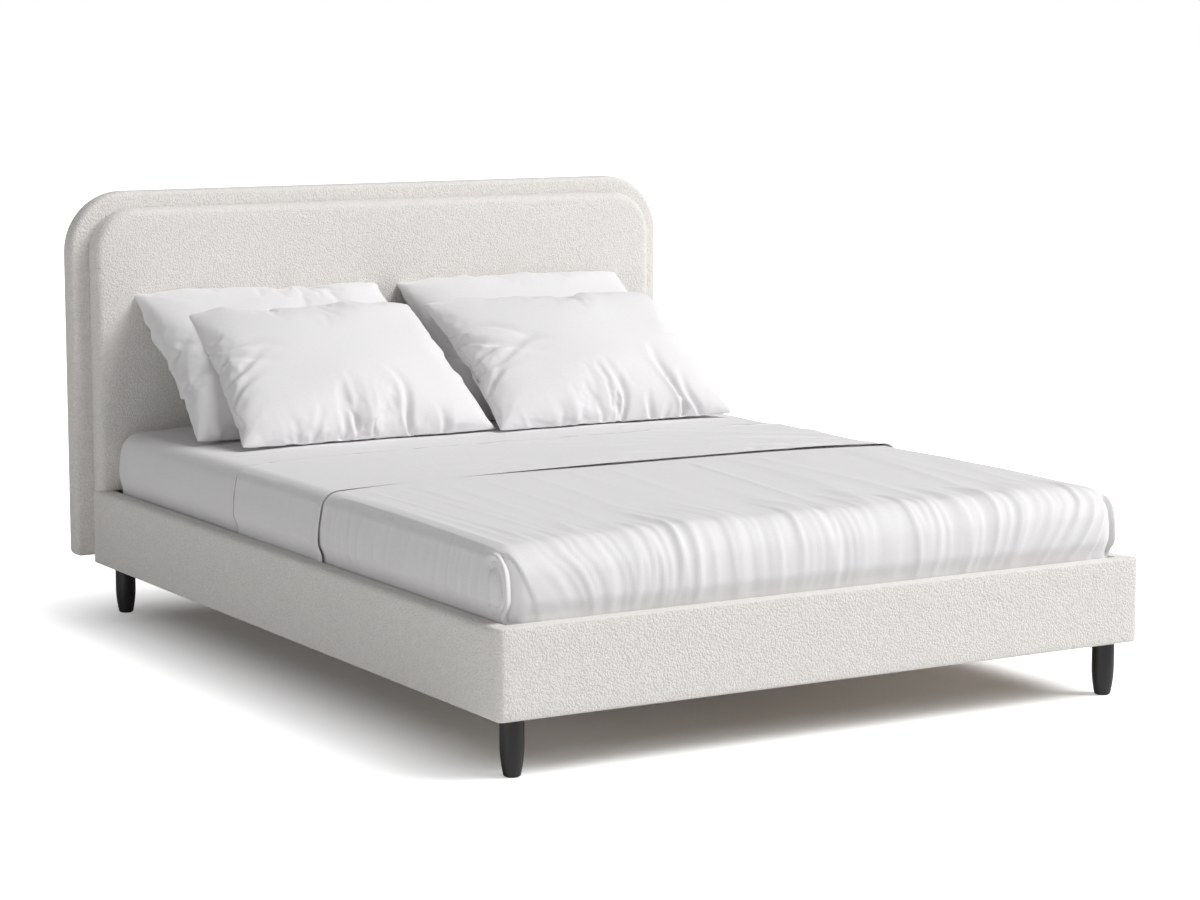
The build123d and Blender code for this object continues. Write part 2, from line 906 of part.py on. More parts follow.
pillows = {
    "rear_left_pillow": {
        "x": -367.0,
        "from_panel": 396.0,
        "height": 505.0,
        "lean": 39.2,
        "front_swell": 32.0,
        "back_swell": 70.0,
    },
    "rear_right_pillow": {
        "x": 383.0,
        "from_panel": 396.0,
        "height": 505.0,
        "lean": 39.2,
        "front_swell": 32.0,
        "back_swell": 70.0,
    },
    "front_left_pillow": {
        "x": -326.0,
        "from_panel": 555.0,
        "height": 495.0,
        "lean": 33.7,
        "front_swell": 62.0,
        "back_swell": 32.0,
    },
    "front_right_pillow": {
        "x": 367.0,
        "from_panel": 585.0,
        "height": 495.0,
        "lean": 33.7,
        "front_swell": 62.0,
        "back_swell": 32.0,
    },
}
for name, pillow in pillows.items():
    with BuildPart() as pillowcase:
        add(pillow_shape(pillow, 0, 0))
        add(pillow_shape(pillow, pillow_seam, sheet), mode=Mode.SUBTRACT)
    save(pillowcase.part, f"{name}case")
    filling = pillow_shape(pillow, pillow_seam + pillow_filling_gap, sheet + sheet_clearance)
    save(filling, f"{name}_filling")
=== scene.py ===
import json
import math

import bmesh
import bpy
import numpy as np
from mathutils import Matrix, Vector, noise


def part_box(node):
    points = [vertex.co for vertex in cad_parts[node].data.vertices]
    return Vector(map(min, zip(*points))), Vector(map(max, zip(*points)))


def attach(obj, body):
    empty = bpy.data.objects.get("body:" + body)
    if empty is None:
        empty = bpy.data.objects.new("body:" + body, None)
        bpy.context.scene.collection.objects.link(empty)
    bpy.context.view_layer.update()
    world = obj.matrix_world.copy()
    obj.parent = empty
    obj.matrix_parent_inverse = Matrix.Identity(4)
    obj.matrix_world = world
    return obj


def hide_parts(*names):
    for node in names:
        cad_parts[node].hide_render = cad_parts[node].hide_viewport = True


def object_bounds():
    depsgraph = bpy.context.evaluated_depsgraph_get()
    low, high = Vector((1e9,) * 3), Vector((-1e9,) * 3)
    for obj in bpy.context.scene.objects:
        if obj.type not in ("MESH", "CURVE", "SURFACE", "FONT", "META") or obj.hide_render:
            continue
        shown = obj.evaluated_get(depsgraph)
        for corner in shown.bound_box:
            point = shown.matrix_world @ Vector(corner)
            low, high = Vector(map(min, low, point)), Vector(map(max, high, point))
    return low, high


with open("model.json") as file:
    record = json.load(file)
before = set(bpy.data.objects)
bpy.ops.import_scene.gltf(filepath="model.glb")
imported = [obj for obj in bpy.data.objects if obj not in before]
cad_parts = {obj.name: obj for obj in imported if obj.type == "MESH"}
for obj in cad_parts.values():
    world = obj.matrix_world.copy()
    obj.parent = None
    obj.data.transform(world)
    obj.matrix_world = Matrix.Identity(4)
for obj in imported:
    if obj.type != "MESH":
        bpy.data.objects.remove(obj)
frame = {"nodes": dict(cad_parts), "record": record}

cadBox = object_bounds()
cadNodes = frame["nodes"]
print("frame loaded:", len(cadNodes), "nodes")


def startGroup(name, numbers, vectors, outputs):
    group = bpy.data.node_groups.new(name, "ShaderNodeTree")
    for label, value in vectors.items():
        socket = group.interface.new_socket(label, in_out="INPUT", socket_type="NodeSocketVector")
        socket.default_value = value
    for label, value in numbers.items():
        socket = group.interface.new_socket(label, in_out="INPUT", socket_type="NodeSocketFloat")
        socket.default_value = value
    for label in outputs:
        group.interface.new_socket(label, in_out="OUTPUT", socket_type="NodeSocketFloat")
    return group, group.nodes.new("NodeGroupInput"), group.nodes.new("NodeGroupOutput")


def addNode(tree, kind, settings=None, **inputs):
    node = tree.nodes.new(kind)
    for label, value in (settings or {}).items():
        setattr(node, label, value)
    for label, value in inputs.items():
        socket = node.inputs[int(label[1:])] if label[1:].isdigit() else node.inputs[label.replace("_", " ")]
        if isinstance(value, bpy.types.NodeSocket):
            tree.links.new(value, socket)
        else:
            socket.default_value = value
    return node


def mathNode(tree, operation, *values):
    inputs = {f"i{index}": value for index, value in enumerate(values)}
    return addNode(tree, "ShaderNodeMath", {"operation": operation}, **inputs).outputs[0]


def scaleVector(tree, vector, amount):
    node = addNode(tree, "ShaderNodeVectorMath", {"operation": "MULTIPLY"}, i0=vector, i1=amount)
    return node.outputs[0]


def makeBoucleLoops():
    group, given, made = startGroup("boucleLoops", {"Pitch": 0.0042}, {"Place": (0, 0, 0)}, ["Height", "ToneAndPaintedShade"])
    density = mathNode(group, "DIVIDE", 1.0, given.outputs["Pitch"])
    stray = addNode(group, "ShaderNodeTexNoise", Vector=given.outputs["Place"], Scale=density, Detail=1.0)
    shift = addNode(group, "ShaderNodeVectorMath", {"operation": "MULTIPLY_ADD"},
                    i0=stray.outputs["Color"], i1=(0.0045, 0.0045, 0.0045), i2=given.outputs["Place"])
    loops = addNode(group, "ShaderNodeTexVoronoi", {"feature": "SMOOTH_F1"},
                    Vector=shift.outputs[0], Scale=density, Smoothness=0.35)
    curls = addNode(group, "ShaderNodeTexNoise", Vector=given.outputs["Place"],
                    Scale=mathNode(group, "MULTIPLY", density, 2.1), Detail=2.0, Roughness=0.6)
    clumps = addNode(group, "ShaderNodeTexNoise", Vector=given.outputs["Place"],
                     Scale=mathNode(group, "MULTIPLY", density, 0.28), Detail=2.0)
    crown = mathNode(group, "SUBTRACT", 1.0, mathNode(group, "MULTIPLY", loops.outputs["Distance"], 1.25))
    height = mathNode(group, "ADD", crown, mathNode(group, "MULTIPLY", curls.outputs["Fac"], 0.7))
    height = mathNode(group, "ADD", height, mathNode(group, "MULTIPLY", clumps.outputs["Fac"], 0.6))
    group.links.new(mathNode(group, "MULTIPLY", height, 0.5), made.inputs["Height"])
    # The colour darkens where the loops sit low: painted shade in the hollows between the loops and clumps.
    paintedLoopShade = addNode(group, "ShaderNodeMapRange", Value=height)
    paintedLoopShade.inputs["From Min"].default_value = 0.75
    paintedLoopShade.inputs["From Max"].default_value = 1.55
    group.links.new(paintedLoopShade.outputs[0], made.inputs["ToneAndPaintedShade"])
    return group


def makePlainWeave():
    group, given, made = startGroup("plainWeave", {"Pitch": 0.0012}, {"Place": (0, 0, 0)}, ["Height", "ToneAndPaintedShade"])
    turn = mathNode(group, "DIVIDE", 2 * math.pi, given.outputs["Pitch"])
    parts = addNode(group, "ShaderNodeSeparateXYZ", Vector=given.outputs["Place"])
    threads = [mathNode(group, "SINE", mathNode(group, "MULTIPLY", parts.outputs[axis], turn)) for axis in range(3)]
    woven = mathNode(group, "ADD", mathNode(group, "MULTIPLY", threads[0], threads[1]),
                     mathNode(group, "MULTIPLY", threads[1], threads[2]))
    woven = mathNode(group, "ADD", woven, mathNode(group, "MULTIPLY", threads[0], threads[2]))
    slub = addNode(group, "ShaderNodeTexNoise", Vector=scaleVector(group, given.outputs["Place"], (1, 0.2, 1)),
                   Scale=240.0, Detail=3.0)
    height = mathNode(group, "ADD", mathNode(group, "MULTIPLY", woven, 0.3), slub.outputs["Fac"])
    group.links.new(height, made.inputs["Height"])
    # The colour follows the height: slub tone, and painted shade where the threads dip.
    group.links.new(mathNode(group, "MULTIPLY", height, 0.8), made.inputs["ToneAndPaintedShade"])
    return group


def makeTimberGrain():
    group, given, made = startGroup("timberGrain", {"Rings": 1.0}, {"Place": (0, 0, 0), "Stretch": (2, 30, 30)},
                                    ["Height", "ToneAndPaintedShade"])
    along = addNode(group, "ShaderNodeVectorMath", {"operation": "MULTIPLY"},
                    i0=given.outputs["Place"], i1=given.outputs["Stretch"])
    drift = addNode(group, "ShaderNodeTexNoise", Vector=along.outputs[0], Scale=0.8, Detail=2.0)
    bent = addNode(group, "ShaderNodeVectorMath", {"operation": "ADD"}, i0=along.outputs[0], i1=drift.outputs["Color"])
    rings = addNode(group, "ShaderNodeTexNoise", Vector=bent.outputs[0], Scale=2.2, Detail=4.0, Roughness=0.65)
    fibres = addNode(group, "ShaderNodeTexNoise", Vector=along.outputs[0], Scale=9.0, Detail=5.0, Roughness=0.7)
    mixed = mathNode(group, "ADD", mathNode(group, "MULTIPLY", rings.outputs["Fac"], given.outputs["Rings"]),
                     mathNode(group, "MULTIPLY", fibres.outputs["Fac"], 0.6))
    group.links.new(fibres.outputs["Fac"], made.inputs["Height"])
    group.links.new(mathNode(group, "MULTIPLY", mixed, 0.62), made.inputs["ToneAndPaintedShade"])
    return group


def makeMottle():
    group, given, made = startGroup("mottle", {"Grain": 900.0}, {"Place": (0, 0, 0)}, ["Height", "ToneAndPaintedShade"])
    fine = addNode(group, "ShaderNodeTexNoise", Vector=given.outputs["Place"], Scale=given.outputs["Grain"], Detail=3.0)
    broad = addNode(group, "ShaderNodeTexNoise", Vector=given.outputs["Place"], Scale=14.0, Detail=4.0, Roughness=0.6)
    group.links.new(fine.outputs["Fac"], made.inputs["Height"])
    both = mathNode(group, "ADD", mathNode(group, "MULTIPLY", fine.outputs["Fac"], 0.4),
                    mathNode(group, "MULTIPLY", broad.outputs["Fac"], 0.6))
    group.links.new(both, made.inputs["ToneAndPaintedShade"])
    return group


groups = {
    "boucle": makeBoucleLoops(),
    "weave": makePlainWeave(),
    "grain": makeTimberGrain(),
    "mottle": makeMottle(),
}

# Every finish: its effect, two colours to move between by the effect's tone and painted shade, roughness at each, bump
# depth and extras
finishes = {
    "boucle_cover": {"effect": "boucle", "set": {"Pitch": 0.0042}, "dark": (0.76, 0.735, 0.705),
                     "light": (0.89, 0.868, 0.845), "rough": (1.0, 0.9), "depth": 0.0032, "bump": 0.9,
                     "extras": {"Sheen Weight": 0.25, "Sheen Roughness": 0.6, "Specular IOR Level": 0.25}},
    "bed_linen": {"effect": "weave", "set": {"Pitch": 0.0011}, "dark": (0.780, 0.768, 0.776),
                  "light": (0.840, 0.828, 0.835), "rough": (0.85, 0.7), "depth": 0.0002, "bump": 0.35,
                  "extras": {"Sheen Weight": 0.15, "Sheen Roughness": 0.5, "Specular IOR Level": 0.3}},
    "mattress_ticking": {"effect": "weave", "set": {"Pitch": 0.0035}, "dark": (0.70, 0.69, 0.67),
                         "light": (0.86, 0.855, 0.84), "rough": (0.95, 0.85), "depth": 0.001, "bump": 0.6,
                         "extras": {"Sheen Weight": 0.1}},
    "fibre_filling": {"effect": "weave", "set": {"Pitch": 0.0015}, "dark": (0.8, 0.8, 0.78),
                      "light": (0.88, 0.88, 0.87), "rough": (0.95, 0.85), "depth": 0.0003, "bump": 0.4},
    "webbing": {"effect": "weave", "set": {"Pitch": 0.0028}, "dark": (0.55, 0.53, 0.48),
                "light": (0.82, 0.80, 0.74), "rough": (0.9, 0.8), "depth": 0.0008, "bump": 0.8},
    "dust_cloth": {"effect": "weave", "set": {"Pitch": 0.0018}, "dark": (0.012, 0.012, 0.013),
                   "light": (0.04, 0.04, 0.042), "rough": (0.95, 0.85), "depth": 0.0004, "bump": 0.6},
    "felt": {"effect": "mottle", "set": {"Grain": 1500.0}, "dark": (0.03, 0.03, 0.03),
             "light": (0.10, 0.10, 0.10), "rough": (1.0, 0.95), "depth": 0.0006, "bump": 0.8},
    "foam": {"effect": "mottle", "set": {"Grain": 700.0}, "dark": (0.70, 0.66, 0.48),
             "light": (0.90, 0.87, 0.72), "rough": (0.95, 0.9), "depth": 0.001, "bump": 0.7},
    "slat_timber": {"effect": "grain", "set": {"Stretch": (1.5, 34, 34)}, "dark": (0.47, 0.31, 0.16),
                    "light": (0.80, 0.64, 0.43), "rough": (0.62, 0.5), "depth": 0.0004, "bump": 0.4},
    "frame_timber": {"effect": "grain", "set": {"Stretch": (26, 1.5, 30)}, "dark": (0.42, 0.28, 0.15),
                     "light": (0.74, 0.58, 0.38), "rough": (0.75, 0.6), "depth": 0.0006, "bump": 0.5},
    "plywood": {"effect": "grain", "set": {"Stretch": (1.6, 220, 22)}, "dark": (0.45, 0.33, 0.20),
                "light": (0.76, 0.62, 0.43), "rough": (0.75, 0.6), "depth": 0.0004, "bump": 0.4},
    "black_timber": {"effect": "grain", "set": {"Stretch": (48, 48, 2.2)}, "dark": (0.006, 0.006, 0.006),
                     "light": (0.015, 0.015, 0.015), "rough": (0.52, 0.36), "depth": 0.0003, "bump": 0.35,
                     "extras": {"Coat Weight": 0.10, "Coat Roughness": 0.35}},
    "black_plastic": {"effect": "mottle", "set": {"Grain": 1800.0}, "dark": (0.012, 0.012, 0.012),
                      "light": (0.03, 0.03, 0.03), "rough": (0.6, 0.5), "depth": 0.0002, "bump": 0.3},
    "black_steel": {"effect": "mottle", "set": {"Grain": 1200.0}, "dark": (0.018, 0.018, 0.018),
                    "light": (0.04, 0.04, 0.04), "rough": (0.5, 0.38), "depth": 0.0002, "bump": 0.3},
    "zinc_steel": {"effect": "mottle", "set": {"Grain": 600.0}, "dark": (0.48, 0.48, 0.46),
                   "light": (0.70, 0.70, 0.69), "rough": (0.42, 0.26), "depth": 0.0001, "bump": 0.2, "metal": 1.0},
}


def makeFinish(slot, recipe):
    material = bpy.data.materials.new(slot)
    material.use_nodes = True
    tree = material.node_tree
    surface = tree.nodes["Principled BSDF"]
    place = addNode(tree, "ShaderNodeTexCoord").outputs["Object"]
    effect = addNode(tree, "ShaderNodeGroup", {"node_tree": groups[recipe["effect"]]}, Place=place)
    for label, value in recipe["set"].items():
        effect.inputs[label].default_value = value
    colour = addNode(tree, "ShaderNodeMix", {"data_type": "RGBA"})
    # The colour moves between dark and light by the effect's tone; for bouclé and weave this holds painted shade in
    # their hollows.
    tree.links.new(effect.outputs["ToneAndPaintedShade"], colour.inputs["Factor"])
    for socket in colour.inputs:
        if socket.type == "RGBA":
            tone = recipe["dark"] if socket.name == "A" else recipe["light"]
            socket.default_value = (*tone, 1)
    mixed = next(s for s in colour.outputs if s.type == "RGBA")
    tree.links.new(mixed, surface.inputs["Base Color"])
    rough = addNode(tree, "ShaderNodeMapRange", Value=effect.outputs["ToneAndPaintedShade"])
    rough.inputs["To Min"].default_value, rough.inputs["To Max"].default_value = recipe["rough"]
    tree.links.new(rough.outputs[0], surface.inputs["Roughness"])
    bump = addNode(tree, "ShaderNodeBump", Height=effect.outputs["Height"])
    bump.inputs["Strength"].default_value = recipe["bump"]
    bump.inputs["Distance"].default_value = recipe["depth"]
    tree.links.new(bump.outputs[0], surface.inputs["Normal"])
    surface.inputs["Metallic"].default_value = recipe.get("metal", 0.0)
    for label, value in recipe.get("extras", {}).items():
        surface.inputs[label].default_value = value
    return material


materials = {slot: makeFinish(slot, recipe) for slot, recipe in finishes.items()}
for part in frame["record"]["subparts"]:
    mesh = cadNodes[part["node"]].data
    mesh.materials.clear()
    mesh.materials.append(materials[part["material_slot"]])
print("finishes made:", len(materials))


def boxMesh(low, high):
    bm = bmesh.new()
    bmesh.ops.create_cube(bm, size=1)
    bmesh.ops.scale(bm, vec=high - low, verts=bm.verts)
    bmesh.ops.translate(bm, vec=(low + high) / 2, verts=bm.verts)
    return bm


def roundEdges(bm, edges, width, steps):
    bmesh.ops.bevel(bm, geom=edges, offset=width, offset_type="OFFSET", segments=steps,
                    profile=0.5, affect="EDGES", material=-1, clamp_overlap=True)


# The largest face looking along a direction
def broadFace(bm, direction):
    facing = [face for face in bm.faces if face.normal.dot(direction) > 0.99]
    return max(facing, key=lambda face: face.calc_area())


# Cuts the mesh across at even steps, so that it can be shaped between its edges
def cutAcross(bm, axis, low, high, step):
    direction = Vector([float(index == axis) for index in range(3)])
    for place in np.linspace(low, high, max(int((high - low) / step), 1) + 1)[1:-1]:
        bmesh.ops.bisect_plane(bm, geom=bm.verts[:] + bm.edges[:] + bm.faces[:], dist=1e-6,
                               plane_co=direction * place, plane_no=direction)


# Swells the faces that look one way, most in the middle and least at their edges
def crownSide(bm, direction, low, high, style, seed):
    across = max(range(3), key=lambda index: abs(direction[index]))
    others = [index for index in range(3) if index != across]
    for vert in bm.verts:
        facing = vert.normal.dot(direction)
        if facing < 0.3:
            continue
        inset = min(min(vert.co[index] - low[index], high[index] - vert.co[index]) for index in others)
        share = 1 - math.exp(-max(inset, 0) / style["crownReach"])
        soft = noise.noise(vert.co * 2.3 + Vector((seed, 0, 0))) * style["unevenness"]
        fine = noise.noise(vert.co * 7.0 + Vector((0, seed, 0))) * style["unevenness"] * 0.4
        vert.co += direction * (style["crown"] * share + (soft + fine) * share) * min((facing - 0.3) / 0.6, 1)


# The edges along a face's outline where it turns into a side
def outlineEdges(bm, direction):
    found = []
    for edge in bm.edges:
        turns = [face.normal.dot(direction) for face in edge.link_faces]
        if len(turns) == 2 and max(turns) > 0.95 and min(turns) < 0.5:
            found.append(edge)
    return found


def openBack(bm, direction, returned):
    face = broadFace(bm, direction)
    bmesh.ops.inset_region(bm, faces=[face], thickness=returned, depth=0, use_even_offset=True)
    bmesh.ops.delete(bm, geom=[face], context="FACES")


def finishPiece(bm, name, body, slot, nodes, sharpAngle=40):
    for edge in bm.edges:
        edge.smooth = edge.calc_face_angle(0) < math.radians(sharpAngle)
    for face in bm.faces:
        face.smooth = True
    mesh = bpy.data.meshes.new(name)
    bm.to_mesh(mesh)
    bm.free()
    return placePiece(mesh, name, body, slot, nodes)


def placePiece(mesh, name, body, slot, nodes):
    mesh.materials.append(materials[slot])
    piece = bpy.data.objects.new(name, mesh)
    bpy.context.scene.collection.objects.link(piece)
    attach(piece, body)
    if nodes:
        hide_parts(*nodes)
    return piece


headboard = {"radius": 0.152, "footRadius": 0.016, "frontRound": 0.013, "backRound": 0.008, "backReturn": 0.04,
             "crown": 0.003, "crownReach": 0.03, "unevenness": 0.0012}
frontPanel = {"radius": 0.112, "footRadius": 0, "frontRound": 0.020, "backRound": 0.009, "backReturn": 0.04,
              "crown": 0.006, "crownReach": 0.05, "unevenness": 0.0018}
rails = {"topRound": 0.012, "bottomRound": 0.006, "innerRound": 0.003, "cornerRound": 0.015, "seamRound": 0.0025,
         "innerReturn": 0.027, "crown": 0.0015, "crownReach": 0.02, "unevenness": 0.0010}
foot, head = Vector((0, -1, 0)), Vector((0, 1, 0))
left, right, up = Vector((-1, 0, 0)), Vector((1, 0, 0)), Vector((0, 0, 1))
near = 0.0005


# The edges that run along an axis at one end of another
def edgesAlong(bm, axis, test):
    found = []
    for edge in bm.edges:
        step = edge.verts[1].co - edge.verts[0].co
        if abs(step[axis]) > 0.9 * step.length and all(test(vert.co) for vert in edge.verts):
            found.append(edge)
    return found


def makePanel(node, name, style, seed):
    low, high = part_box(node)
    bm = boxMesh(low, high)
    roundEdges(bm, edgesAlong(bm, 1, lambda co: co.z > high.z - near), style["radius"], 24)
    bm.normal_update()
    openBack(bm, head, style["backReturn"])
    if style["footRadius"]:
        roundEdges(bm, edgesAlong(bm, 1, lambda co: co.z < low.z + near and abs(co.x) > high.x - near),
                   style["footRadius"], 5)
    for direction, width, steps in ((foot, style["frontRound"], 7), (head, style["backRound"], 4)):
        bm.normal_update()
        edges = outlineEdges(bm, direction)
        if not style["footRadius"]:
            edges = [edge for edge in edges if max(vert.co.z for vert in edge.verts) > low.z + near]
        roundEdges(bm, edges, width, steps)
    cutAcross(bm, 0, low.x, high.x, 0.035)
    cutAcross(bm, 2, low.z, high.z, 0.035)
    bm.normal_update()
    crownSide(bm, foot, low, high, style, seed)
    piece = finishPiece(bm, name, "frame", "boucle_cover", [node])


makePanel("headboard_cover", "headboardCover", headboard, 1)
makePanel("front_panel_cover", "frontPanelCover", frontPanel, 5)


def makeRail(node, name, outward, seed):
    low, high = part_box(node)
    atFoot = outward is foot
    bm = boxMesh(low, high)
    bm.normal_update()
    openBack(bm, -outward, rails["innerReturn"])
    across, along = (1, 0) if atFoot else (0, 1)
    face, inner = (high[across], low[across]) if outward is right else (low[across], high[across])
    onFace = lambda co: abs(co[across] - face) < near
    if atFoot:
        roundEdges(bm, edgesAlong(bm, 2, onFace), rails["cornerRound"], 6)
    onInner = lambda co: abs(co[across] - inner) < near
    bm.normal_update()
    innerTop = edgesAlong(bm, along, lambda co: onInner(co) and co.z > high.z - near)
    roundEdges(bm, innerTop, rails["innerRound"], 2)
    bm.normal_update()
    for direction, width, steps in ((up, rails["topRound"], 6), (-up, rails["bottomRound"], 4)):
        edges = [edge for edge in outlineEdges(bm, direction)
                 if not all(abs(vert.co[across] - inner) < rails["innerRound"] + near for vert in edge.verts)]
        if not atFoot:
            edges = [edge for edge in edges if abs(edge.verts[0].co.y - edge.verts[1].co.y) > near]
        roundEdges(bm, edges, width, steps)
        bm.normal_update()
    if not atFoot:
        roundEdges(bm, outlineEdges(bm, foot), rails["seamRound"], 3)
    cutAcross(bm, along, low[along], high[along], 0.04)
    cutAcross(bm, 2, low.z, high.z, 0.02)
    bm.normal_update()
    crownSide(bm, outward, low, high, rails, seed)
    piece = finishPiece(bm, name, "frame", "boucle_cover", [node])


makeRail("left_rail_cover", "leftRailCover", left, 2)
makeRail("right_rail_cover", "rightRailCover", right, 3)
makeRail("foot_rail_cover", "footRailCover", foot, 4)
print("upholstery made")


mattressLow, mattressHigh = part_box("mattress")
bedding = {"halfWidth": mattressHigh.x, "foot": mattressLow.y, "head": mattressHigh.y, "top": mattressHigh.z,
           "railTop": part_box("foot_rail_cover")[1].z, "hem": mattressLow.z + 0.022}


mattress = {"sideInset": 0.006, "topInset": 0.013, "corner": 0.045, "topRound": 0.048, "bottomRound": 0.02}


def makeMattress():
    inset = Vector((mattress["sideInset"], mattress["sideInset"], 0))
    bm = boxMesh(mattressLow + inset, mattressHigh - inset - Vector((0, 0, mattress["topInset"])))
    upright = edgesAlong(bm, 2, lambda co: True)
    roundEdges(bm, upright, mattress["corner"] + 0.01, 8)
    for direction, width in ((up, mattress["topRound"]), (-up, mattress["bottomRound"])):
        bm.normal_update()
        roundEdges(bm, outlineEdges(bm, direction), width, 6)
    piece = finishPiece(bm, "mattressBody", "mattress", "mattress_ticking", ["mattress"])


makeMattress()


# Steps smoothly from 0 to 1 between two edges
def ease(low, high, value):
    share = np.clip((value - low) / (high - low), 0, 1)
    return share * share * (3 - 2 * share)


# Noise at each point, as an array. Columns are the three coordinates.
def noiseAt(*coordinates):
    columns = np.broadcast_arrays(*coordinates)
    flat = [np.ravel(column) for column in columns]
    found = [noise.noise(Vector(point)) for point in zip(*flat)]
    return np.array(found).reshape(columns[0].shape)


# Lays flat cloth over the mattress. across is the place over the width, along the place on
# the length, beyond how far past the flat top's end it is, and lift how far above.
def layOver(across, along, beyond, lift, style):
    sideEdge, endEdge = style["sideEdge"], style["endEdge"]
    flatHalf = bedding["halfWidth"] + style["grow"] - sideEdge
    side = np.maximum(np.abs(across) - flatHalf, 0) / sideEdge
    end = np.abs(beyond) / endEdge
    over = (side ** 6 + end ** 6) ** (1 / 6)
    reach = np.maximum(np.hypot(side, end), 1e-9)
    outX = np.sign(across) * side / reach
    outY = np.sign(beyond) * end / reach
    endShare = (end / reach) ** 2
    edge = sideEdge * (1 - endShare) + endEdge * endShare
    turn = np.minimum(over, math.pi / 2)
    hang = np.maximum(over - math.pi / 2, 0) * edge
    flat = np.sign(across) * np.minimum(np.abs(across), flatHalf)
    toFoot = (bedding["head"] - along) / (bedding["head"] - bedding["foot"])
    crown = style["crown"] * ((np.abs(flat) / flatHalf) ** 4 + np.clip(toFoot, 0, 1) ** 10)
    level = bedding["top"] + style["rise"] - edge * (1 - np.cos(turn)) - hang
    level = level - crown * np.cos(turn / 2) ** 2
    # the spare cloth of a corner stops near the hem instead of hanging as a point
    level = np.where(level < bedding["hem"], bedding["hem"] - 0.1 * (bedding["hem"] - level), level)
    above = level - bedding["railTop"]
    swell = style["swell"] * ease(0.008, 0.045, above) * (1 - ease(0.06, 0.15, above))
    out = (np.sin(turn) * (edge + swell + lift))
    return flat + outX * out, along + outY * out, level + lift * np.cos(turn)


def clothPiece(name, rows, columns, place, heights, nodes):
    bm = bmesh.new()
    bmesh.ops.create_grid(bm, x_segments=columns - 1, y_segments=rows - 1, size=0.5)
    grid = np.array([v.co[:2] for v in bm.verts]) + 0.5
    xs, ys, zs = place(grid[:, 0], grid[:, 1])
    for vert, x, y, z in zip(bm.verts, xs, ys, zs):
        vert.co = (x, y, z)
    bm.normal_update()
    if np.mean([v.normal.z for v in bm.verts]) < 0:
        bmesh.ops.reverse_faces(bm, faces=bm.faces)
        bm.normal_update()
    rises = heights(grid[:, 0], grid[:, 1], xs, ys, zs)
    normals = [v.normal.copy() for v in bm.verts]
    for vert, normal, rise in zip(bm.verts, normals, rises):
        vert.co += normal * rise
    for face in bm.faces:
        face.smooth = True
    mesh = bpy.data.meshes.new(name)
    bm.to_mesh(mesh)
    bm.free()
    return placePiece(mesh, name, "mattress", "bed_linen", nodes)


fitted = {"sideEdge": 0.042, "endEdge": 0.060, "grow": 0.0015, "rise": 0.0015, "crown": 0.008, "swell": 0.010}
flatSheet = {"sideEdge": 0.036, "endEdge": 0.066, "grow": 0.0036, "rise": 0.004, "crown": 0.009, "swell": 0.011,
             "fold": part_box("flat_sheet")[1].y, "band": 0.464, "bandLift": 0.0026, "foldTurn": 0.012}


# How far cloth reaches past the flat top down one side, to its hem
def dropLength(style, edge):
    return style[edge] * math.pi / 2 + bedding["top"] - style[edge] - bedding["hem"]


def makeFitted():
    sideDrop, endDrop = dropLength(fitted, "sideEdge"), dropLength(fitted, "endEdge")
    halfAcross = bedding["halfWidth"] + fitted["grow"] - fitted["sideEdge"] + sideDrop
    flatFoot = bedding["foot"] - fitted["grow"] + fitted["endEdge"]
    flatHead = bedding["head"] + fitted["grow"] - fitted["endEdge"]
    length = flatHead - flatFoot + 2 * endDrop

    def place(u, v):
        along = flatFoot - endDrop + v * length
        beyond = np.where(along < flatFoot, along - flatFoot, np.maximum(along - flatHead, 0))
        return layOver((2 * u - 1) * halfAcross, np.clip(along, flatFoot, flatHead), beyond, 0, fitted)

    def heights(u, v, x, y, z):
        side = 1 - ease(bedding["top"] - 0.05, bedding["top"] - 0.02, z)
        shown = ease(0.15, 0.3, y)
        soft = 0.002 * noiseAt(x * 3, y * 3, z * 3)
        creases = 0.0018 * noiseAt(x * 9 + y * 14, y * 4 - x * 3, z * 3)
        uprights = 0.0022 * side * noiseAt(y * 26, x * 26, z * 3)
        headCorner = ease(0.55, 0.95, y) * ease(0.6, 0.75, np.abs(x))
        pulls = 0.004 * headCorner * side * noiseAt(y * 20, x * 20, z * 5)
        return (soft + creases * (1 - side) + uprights + pulls) * shown

    piece = clothPiece("fittedSheet", 200, 160, place, heights, ["fitted_sheet"])


makeFitted()


folds = {"gather": 0.0072, "pulls": 0.0032, "leftLines": 0.0016, "soft": 0.0030, "slant": 0.0086, "crumple": 0.0042,
         "sideFolds": 0.0026, "sideLines": 0.0012}
# The folded corners at the foot: a raised pleat edge, a groove beside it and a shadowed pocket
mitre = {"from": 0.022, "inset": 0.002, "narrow": 0.012, "widen": 0.42, "pocket": 0.022, "edge": 0.0055,
         "edgeWidth": 0.0030, "groove": 0.009, "grooveWidth": 0.0032}


# Sharp-crested folds from smooth noise
def ridges(values):
    return np.clip(1 - np.abs(values) * 2.6, 0, 1) ** 1.5


# The same folds with rounded crests
def softFolds(values):
    return np.exp(-(values * 4.0) ** 2)


